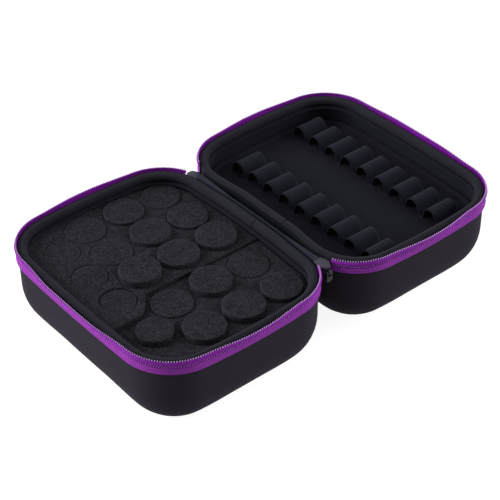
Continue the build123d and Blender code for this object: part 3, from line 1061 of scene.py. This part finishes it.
class OILBOX_OT_hinge(bpy.types.Operator):
    """Build the fabric hinge that bends between the halves"""
    bl_idname = "oil_box.hinge"
    bl_label = "Fabric Hinge"

    def section(self, rims, along):
        """The strip's line from wall to wall: a narrow fold in the middle, wide at the ends."""
        hinge, shell = sizes("hinge", "shell")
        near, far = [
            rim.place(rim.hinge_distance(along), shell.inset + sunk, shell.height).x
            for rim, sunk in zip(rims, (HINGE_SINK, -hinge.thickness / 2))]
        top, low = shell.height + hinge.rise, shell.height - hinge.depth
        spread = min(max((abs(along) - hinge.fold_half_span) / hinge.flare, 0), 1)
        narrow, wide = near + hinge.fold_place + hinge.fold_width, far - hinge.fold_place / 2
        left, right = near + hinge.fold_place, narrow + (wide - narrow) * spread
        deep = hinge.thickness
        upper = flowing([
            (near, low), (near, top - 3 * deep), (near + 0.3 * deep, top - 2.2 * deep),
            (left - 0.2 * deep, top - 1.6 * deep), (left + 0.25 * deep, top - 0.35 * deep),
            ((left + right) / 2, top), (right - 0.25 * deep, top - 0.35 * deep),
            (right + 0.1 * deep, top - 1.6 * deep), (right + 0.2 * deep, top - 3.6 * deep),
            (far - 0.3 * deep, top - 3.8 * deep), (far, top - 3 * deep), (far, top),
            (far + 0.6 * deep, top + 0.5 * deep)], 2)
        under = []
        for before, point, after in zip([upper[0]] + upper, upper, upper[1:] + [upper[-1]]):
            run = (after - before).normalized()
            under.append(point + Vector((run.y, -run.x)) * deep / 2)
        return upper + under[::-1]

    def execute(self, context):
        hinge = sizes("hinge")
        rims = [Rim(half) for half in HALVES]
        bm = bmesh.new()
        uv = bm.loops.layers.uv.new("UVMap")
        spot = bm.verts.layers.int.new("spot")
        ring = []
        for number, (x, z) in enumerate(self.section(rims, -hinge.half_span)):
            ring.append(bm.verts.new((x, -hinge.half_span, z)))
            ring[-1][spot] = number
        edges = first = [bm.edges.new(pair) for pair in zip(ring, ring[1:] + ring[:1])]
        for step in range(HINGE_STEPS):
            along = hinge.half_span * (2 * (step + 1) / HINGE_STEPS - 1)
            places = self.section(rims, along)
            edges, fresh = extruded(bm, edges)
            for vert in fresh:
                x, z = places[vert[spot]]
                vert.co = (x, along, z)
        cap(bm, first, edges)
        for face in bm.faces:
            spots = [vert[spot] for vert in face.verts]
            # faces off the raised fold take the hinge fabric's painted-shade copy
            face.material_index = 0 if min(spots) in HINGE_FOLD_SPOTS else 1
            for loop in face.loops:
                loop[uv].uv = (loop.vert.co.y, loop.vert.co.x)
        piece = as_piece(
            bm, "hinge_strip", None, "hinge_fabric",
            ["Hinge Fabric", "Gusset"], ["hinge_web"])
        across = [place.x for place in self.section(rims, 0)]
        height = sizes("shell").height
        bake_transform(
            piece, "base", "lid", start=(min(across), 0, height), end=(max(across), 0, height))
        return {"FINISHED"}


# Foam

def cavity_inset(shell, height):
    """How far the inside of the wall is drawn in at a height."""
    radius = shell.bottom_radius - shell.wall
    drop = max(0, shell.wall + radius - height)
    return shell.inset + shell.wall + radius - math.sqrt(max(0, radius**2 - drop**2))


def foam_profile(shell, gap, low, high):
    """Inset and height of foam cut to the inside of the base."""
    corner = sizes("case").corner_radius
    steps = 8
    heights = [low + (high - low) * step / steps for step in range(steps + 1)]
    return [(min(cavity_inset(shell, z) + gap, 0.99 * corner), z) for z in heights]


def plug_places(foam, case):
    """Every hole: its name, centre, radius and whether it is in the far block."""
    for column, across in COLUMN_SHARES.items():
        small = column == "a"
        rows = SMALL_ROW_SHARES if small else LARGE_ROW_SHARES
        for row, along in enumerate(rows):
            centre = Vector((across * case.width / 2, along * case.length / 2))
            radius = foam.small_hole if small else foam.large_hole
            yield column, row, centre, radius, row < REAR_ROWS


def rear_top(foam, shell, case, x):
    """Height of the far block's sloping top, at x from the middle of the base."""
    reach = case.width / 2 - shell.inset - shell.wall - foam.wall_gap
    slope = (x + reach) / (2 * reach)
    rise = foam.rise_at_front + (foam.rise_at_hinge - foam.rise_at_front) * slope
    return shell.wall + foam.floor_thickness + foam.front_height + rise


class OILBOX_OT_foam(bpy.types.Operator):
    """Build the foam floor and the two holed blocks"""
    bl_idname = "oil_box.foam"
    bl_label = "Foam Blocks"

    def execute(self, context):
        foam, shell = sizes("foam", "shell")
        rim = Rim("base")
        floor_top = shell.wall + foam.floor_thickness
        bm = sweep(rim, foam_profile(shell, foam.wall_gap, shell.wall, floor_top))
        floor = as_piece(bm, "foam_sheet", "base", "foam", ["Foam"], ["foam_floor"])
        for name, rear in (("rear", True), ("front", False)):
            self.block(rim, name, rear)
        return {"FINISHED"}

    def zone(self, rim, shift):
        """A prism over the far side of the wavy cut."""
        foam, shell, case = sizes("foam", "shell", "case")
        corner, lobe = [
            Vector((x * case.width / 2, y * case.length / 2))
            for x, y in (CUT_CORNER_SHARES, CUT_LOBE_SHARES)]
        along = (corner - lobe).normalized()
        beside = Vector((along.y, -along.x))
        steps = 12
        curve = []
        for step in range(steps + 1):
            part = step / steps
            bulge = foam.lobe_depth * 4 * part * (1 - part)
            curve.append(lobe.lerp(corner, part) + beside * bulge)
        far = case.length
        path = [Vector((-far, lobe.y))] + curve + [
            Vector((far, corner.y)), Vector((far, far)), Vector((-far, far))]
        bm = bmesh.new()
        move = rim.centre + Vector((0, shift))
        base = bm.faces.new([bm.verts.new((point + move).to_3d()) for point in path])
        raised = points_of(bmesh.ops.extrude_face_region(bm, geom=[base]))
        bmesh.ops.translate(bm, verts=raised, vec=(0, 0, 2 * shell.height))
        bmesh.ops.recalc_face_normals(bm, faces=bm.faces)
        return as_object(bm, "cut_zone")

    def block(self, rim, name, rear):
        """One block with its holes, softened along its cut edges."""
        foam, shell, case = sizes("foam", "shell", "case")
        low = shell.wall + foam.floor_thickness
        top = low + foam.front_height + (foam.rise_at_front if rear else 0)
        bm = sweep(rim, foam_profile(shell, foam.wall_gap, low, top))
        bmesh.ops.recalc_face_normals(bm, faces=bm.faces)
        form = as_object(bm, "foam_form")
        shift = 0 if rear else -foam.cut
        bm = carved(form, self.zone(rim, shift), "INTERSECT" if rear else "DIFFERENCE")
        if rear:
            reach = case.width / 2
            height = [rear_top(foam, shell, case, x) for x in (-reach, reach)]
            slope = (height[1] - height[0]) / (2 * reach)
            bmesh.ops.bisect_plane(
                bm, geom=[*bm.verts, *bm.edges, *bm.faces], clear_outer=True,
                plane_co=(*rim.centre, sum(height) / 2), plane_no=(-slope, 0, 1))
            cap(bm, [edge for edge in bm.edges if edge.is_boundary])
        form = as_object(bm, "foam_form")
        drills = bmesh.new()
        for _, _, centre, radius, in_rear in plug_places(foam, case):
            if in_rear == rear:
                bmesh.ops.create_cone(
                    drills, cap_ends=True, segments=foam.hole_sides, radius1=radius,
                    radius2=radius, depth=2 * shell.height,
                    matrix=Matrix.Translation((*(rim.centre + centre), shell.height)))
        bm = carved(form, as_object(drills, "hole_drills"), "DIFFERENCE")
        bmesh.ops.remove_doubles(bm, verts=bm.verts, dist=WELD_DISTANCE)
        upper = edges_above(bm, top - CUT_EDGE_REACH)
        soften(bm, sharp_edges(bm, 50, upper), foam.edge, 3)
        piece = as_piece(
            bm, "foam_holed_" + name, "base", "foam", ["Foam"],
            ["foam_block_" + name], crease=50, recalc=False)


class OILBOX_OT_plugs(bpy.types.Operator):
    """Build the foam plugs, each with its own soft and slightly uneven top"""
    bl_idname = "oil_box.plugs"
    bl_label = "Foam Plugs"

    def execute(self, context):
        foam, case = sizes("foam", "case")
        rim = Rim("base")
        for column, row, centre, radius, rear in plug_places(foam, case):
            self.plug(rim, column, row, centre, radius, rear)
        return {"FINISHED"}

    def plug(self, rim, column, row, centre, radius, rear):
        """One plug: its side, its rounded edge and rings of its top."""
        foam, shell, case, trim = sizes("foam", "shell", "case", "rim")
        name = column + str(row + 1)
        lift = foam.plug_rise * PLUG_RISE_SHARES[column][row]
        low = shell.wall + foam.floor_thickness + foam.plug_floor_gap + lift
        front_top = shell.wall + foam.floor_thickness + foam.front_height
        top = (rear_top(foam, shell, case, centre.x) if rear else front_top) + lift
        side = radius - foam.plug_clearance
        edge = 1.6 * foam.edge
        rings = [(side, low), (side, low + 0.5 * (top - low)), (side, top - edge)]
        for degrees in (30, 60, 90):
            turn = math.radians(degrees)
            rings.append((side - edge * (1 - math.cos(turn)), top - edge * (1 - math.sin(turn))))
        rings += [(part * side, top) for part in PLUG_TOP_RINGS]
        bm = bmesh.new()
        # a layer for the painted highlight on the plug's rounded top edge
        edge_highlight_layer = bm.verts.layers.float.new("rim")
        ring = bmesh.ops.create_circle(
            bm, cap_ends=True, segments=foam.hole_sides, radius=side,
            matrix=Matrix.Translation((0, 0, low)))["verts"]
        edges = list(bm.edges)
        for number, (reach, height) in enumerate(rings[1:]):
            edges, ring = extruded(bm, edges)
            for vert in ring:
                vert.co = (*(vert.co.xy.normalized() * reach), height)
                vert[edge_highlight_layer] = PLUG_EDGE_HIGHLIGHT.get(number, 0.0)
        cap(bm, edges)
        inset = trim.inset + trim.width + foam.plug_clearance
        seed = Vector((0.0, 0.0, PLUG_SEED_STEP * (ord(column) + 5 * row)))
        for vert in bm.verts:
            rough = noise.noise(vert.co * PLUG_DENT_SCALE + seed)
            vert.co.xy *= 1 + PLUG_DENT * min(rough, 0)
            if vert.co.z > top - 2 * edge:
                vert.co.z += PLUG_RIPPLE * noise.noise(vert.co * PLUG_RIPPLE_SCALE + seed)
            pressed = vert.co.z - lift - foam.plug_press
            reach = cavity_inset(shell, pressed) + foam.wall_gap + foam.plug_clearance
            placed = rim.centre + centre + vert.co.xy
            vert.co.xy = rim.kept_inside(placed, max(inset, reach))
        piece = as_piece(
            bm, "foam_disc_" + name, "plug_" + name, "foam", ["Foam"],
            ["foam_plug_" + name], crease=60)


# Lid

class OILBOX_OT_lid_panel(bpy.types.Operator):
    """Build the lid's pad, covered panel and piped edge"""
    bl_idname = "oil_box.lid_panel"
    bl_label = "Lid Panel"

    def execute(self, context):
        lid, shell, zipper = sizes("lid", "shell", "zip")
        rim = Rim("lid")
        top = zipper.height - lid.panel_depth
        low = top - lid.panel_thickness
        inset = shell.inset + shell.wall + lid.clearance
        bm = sweep(rim, [(inset, low - lid.pad_thickness), (inset, low)])
        pad = as_piece(bm, "lid_soft_pad", "lid", "foam", ["Foam"], ["lid_pad"])
        bm = sweep(rim, [(inset, low), (inset, top)])
        bmesh.ops.recalc_face_normals(bm, faces=bm.faces)
        soften(bm, edges_above(bm, low + MM), BOARD_EDGE, 2)
        half_piece(bm, rim, "covered_board", "lining_fabric", ["Panel Cover"], "panel")
        wide, high = lid.piping_width, lid.piping_height
        section = flowing(
            [(inset + out * wide, top + up * high) for out, up in PIPING_PROFILE], 3)
        half_piece(
            swept(rim, section), rim, "piped_edge", "lining_fabric", ["Lining"],
            "panel_piping")
        return {"FINISHED"}


class OILBOX_OT_loops(bpy.types.Operator):
    """Build the two rows of elastic loops"""
    bl_idname = "oil_box.loops"
    bl_label = "Elastic Loops"

    def execute(self, context):
        for name, shares in LOOP_ROW_SHARES.items():
            self.row(name, shares)
        return {"FINISHED"}

    def crown(self, lid, pitch, middle):
        """One loop as a line of distance along the row and height."""
        radius = LOOP_CROWN_SHARE * pitch
        centre = Vector((middle, lid.loop_height - radius))
        feet = [
            Vector((middle - LOOP_FLARED_FOOT_SHARE * pitch, 0)),
            Vector((middle + LOOP_STEEP_FOOT_SHARE * pitch, 0))]
        turns = []
        for foot, way in zip(feet, (-1, 1)):
            reach = foot - centre
            turn = math.atan2(reach.y, reach.x) % (2 * math.pi)
            turns.append(turn + way * math.acos(radius / reach.length))
        first, last = turns[0], turns[1] - 2 * math.pi
        steps = 16
        arc = []
        for step in range(steps + 1):
            turn = first + (last - first) * step / steps
            arc.append(centre + Vector((math.cos(turn), math.sin(turn))) * radius)
        return [feet[0]] + arc + [feet[1]]

    def row(self, name, shares):
        """A band of elastic sewn down between its loops."""
        lid, case, zipper = sizes("lid", "case", "zip")
        rim = Rim("lid")
        pitch = LOOP_PITCH_SHARE * case.length
        row_x = rim.centre.x + shares[0] * case.width / 2
        row_y = shares[1] * case.length / 2
        first = row_y - pitch * (lid.loops - 1) / 2
        half = lid.band_thickness / 2
        line = []
        for number in range(lid.loops):
            line += self.crown(lid, pitch, first + number * pitch)
        line = (
            [line[0] - Vector((lid.loop_tail, 0))] + line + [line[-1] + Vector((lid.loop_tail, 0))])
        height = zipper.height - lid.panel_depth
        bm = bmesh.new()
        uv = bm.loops.layers.uv.new("UVMap")
        travel = bm.verts.layers.float.new("travel")
        chain, distance = [], 0
        for number, (along, rise) in enumerate(line):
            if number:
                distance += (line[number] - line[number - 1]).length
            vert = bm.verts.new((row_x - lid.band_width / 2, along, height + max(rise, half)))
            vert[travel] = distance
            chain.append(vert)
        edges = [bm.edges.new(pair) for pair in zip(chain, chain[1:])]
        steps = 8
        for _ in range(steps):
            edges, fresh = extruded(bm, edges)
            bmesh.ops.translate(bm, verts=fresh, vec=(lid.band_width / steps, 0, 0))
        for face in bm.faces:
            for loop in face.loops:
                loop[uv].uv = (loop.vert[travel], loop.vert.co.x)
        bmesh.ops.recalc_face_normals(bm, faces=bm.faces)
        if sum(face.normal.z for face in bm.faces) < 0:
            bmesh.ops.reverse_faces(bm, faces=bm.faces)
        piece = as_piece(
            bm, "elastic_row_" + name, "lid", "elastic", ["Elastic"],
            ["loop_row_" + name], crease=50, recalc=False)
        thicken = piece.modifiers.new("Thickness", "SOLIDIFY")
        thicken.thickness = lid.band_thickness
        thicken.offset = -1


# Sliders

class OILBOX_OT_sliders(bpy.types.Operator):
    """Build the zip sliders and their pulls from the frame's own solids"""
    bl_idname = "oil_box.sliders"
    bl_label = "Sliders"

    def execute(self, context):
        for end in ("front", "rear"):
            # each pull takes the darker, painted-shade copy of the slider's metal
            for node_name, body, finish in (
                    ("slider_" + end, "slider_" + end, "Slider"),
                    ("slider_pull_" + end, "pull_" + end, "Pull")):
                bm = node_copy(node_name)
                soften(bm, sharp_edges(bm, 40), CAST_EDGE, 2)
                as_piece(
                    bm, node_name + "_cast", body, "slider_metal", [finish],
                    [node_name], recalc=False)
        return {"FINISHED"}


# Stage

def area_light(name, energy, width, place):
    """A soft square lamp that faces the box."""
    lamp = bpy.data.lights.new(name, "AREA")
    lamp.energy = energy
    lamp.size = width
    thing = bpy.data.objects.new(name, lamp)
    bpy.context.scene.collection.objects.link(thing)
    thing.location = place
    aim = Vector(LAMP_TARGET) - Vector(place)
    thing.rotation_euler = aim.to_track_quat("-Z", "Y").to_euler()


class OILBOX_OT_stage(bpy.types.Operator):
    """Build the floor, the white surroundings, the lamps and the camera"""
    bl_idname = "oil_box.stage"
    bl_label = "Stage"

    def execute(self, context):
        self.floor()
        self.surroundings()
        for name, numbers in LAMPS.items():
            area_light(name, *numbers)
        self.camera()
        return {"FINISHED"}

    def seen(self, tree):
        """One where a ray comes from the camera or a reflection, else nothing."""
        path = tree.nodes.new("ShaderNodeLightPath").outputs
        either = joined(tree, "MAXIMUM", path["Is Camera Ray"], path["Is Glossy Ray"])
        return joined(tree, "MAXIMUM", either, path["Is Transmission Ray"])

    def floor(self):
        """A wide pale floor."""
        bm = bmesh.new()
        bmesh.ops.create_grid(bm, x_segments=1, y_segments=1, size=4.0)
        material = bpy.data.materials.new("Floor")
        material.use_nodes = True
        tree = material.node_tree
        shader = tree.nodes["Principled BSDF"]
        shader.inputs["Base Color"].default_value = sizes("colours").floor
        shader.inputs["Roughness"].default_value = 0.9
        glow = node(tree, "ShaderNodeEmission", {"Color": (1, 1, 1, 1)})
        strength = joined(tree, "MULTIPLY", self.seen(tree), FLOOR_GLOW)
        tree.links.new(strength, glow.inputs["Strength"])
        both = tree.nodes.new("ShaderNodeAddShader")
        tree.links.new(shader.outputs[0], both.inputs[0])
        tree.links.new(glow.outputs[0], both.inputs[1])
        tree.links.new(both.outputs[0], tree.nodes["Material Output"].inputs["Surface"])
        as_object(bm, "floor", [material])

    def surroundings(self):
        """White round the box, at a plain level of light."""
        world = bpy.data.worlds.new("Surroundings")
        bpy.context.scene.world = world
        world.use_nodes = True
        tree = world.node_tree
        background = tree.nodes["Background"]
        background.inputs["Color"].default_value = (1, 1, 1, 1)
        level = node(tree, "ShaderNodeMapRange", {
            "Value": self.seen(tree), "To Min": SURROUNDING_LIGHT, "To Max": 1.0})
        tree.links.new(level.outputs["Result"], background.inputs["Strength"])

    def camera(self):
        """The camera where the photograph was taken from."""
        view = sizes("view")
        lens = bpy.data.cameras.new("Camera")
        lens.lens = view.lens
        lens.sensor_width = 36.0
        lens.clip_start = 0.01
        eye = bpy.data.objects.new("Camera", lens)
        bpy.context.scene.collection.objects.link(eye)
        level = math.cos(view.elevation)
        back = Vector((
            math.sin(view.azimuth) * level, -math.cos(view.azimuth) * level,
            math.sin(view.elevation)))
        turn = Matrix.Rotation(view.roll, 3, back)
        right = turn @ Vector((0, 0, 1)).cross(back).normalized()
        axes = Matrix((right, back.cross(right), back)).transposed()
        eye.matrix_world = Matrix.Translation(
            Vector((view.target_x, view.target_y, 0)) + back * view.distance) @ axes.to_4x4()
        bpy.context.scene.camera = eye


# Panel and registration

class OILBOX_PT_panel(bpy.types.Panel):
    """Lists the box's pieces and their sizes"""
    bl_idname = "OILBOX_PT_panel"
    bl_label = "Oil Box"
    bl_space_type = "VIEW_3D"
    bl_region_type = "UI"
    bl_category = "Oil Box"

    def draw(self, context):
        for operator in OPERATORS:
            self.layout.operator(operator.bl_idname)
        for name in GROUPS:
            box = self.layout.box()
            for prop in GROUPS[name].__annotations__:
                box.prop(sizes(name), prop)


OPERATORS = (
    OILBOX_OT_stage, OILBOX_OT_shells, OILBOX_OT_zip, OILBOX_OT_rims, OILBOX_OT_hinge,
    OILBOX_OT_foam, OILBOX_OT_plugs, OILBOX_OT_lid_panel, OILBOX_OT_loops, OILBOX_OT_sliders)


def register():
    """Registers the classes and puts the sizes on the scene."""
    for cls in (*GROUPS.values(), *OPERATORS, OILBOX_PT_panel):
        bpy.utils.register_class(cls)
    for name, group in GROUPS.items():
        setattr(bpy.types.Scene, PREFIX + name, bpy.props.PointerProperty(type=group))


def unregister():
    """Takes the sizes and classes away again."""
    for name in GROUPS:
        delattr(bpy.types.Scene, PREFIX + name)
    for cls in (OILBOX_PT_panel, *reversed(OPERATORS), *reversed(GROUPS.values())):
        bpy.utils.unregister_class(cls)


def main():
    """Builds every piece in order."""
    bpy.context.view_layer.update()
    bpy.context.scene.view_settings.view_transform = "Standard"
    register()
    for operator in OPERATORS:
        family, name = operator.bl_idname.split(".")
        getattr(getattr(bpy.ops, family), name)()


if __name__ == "__main__":
    main()
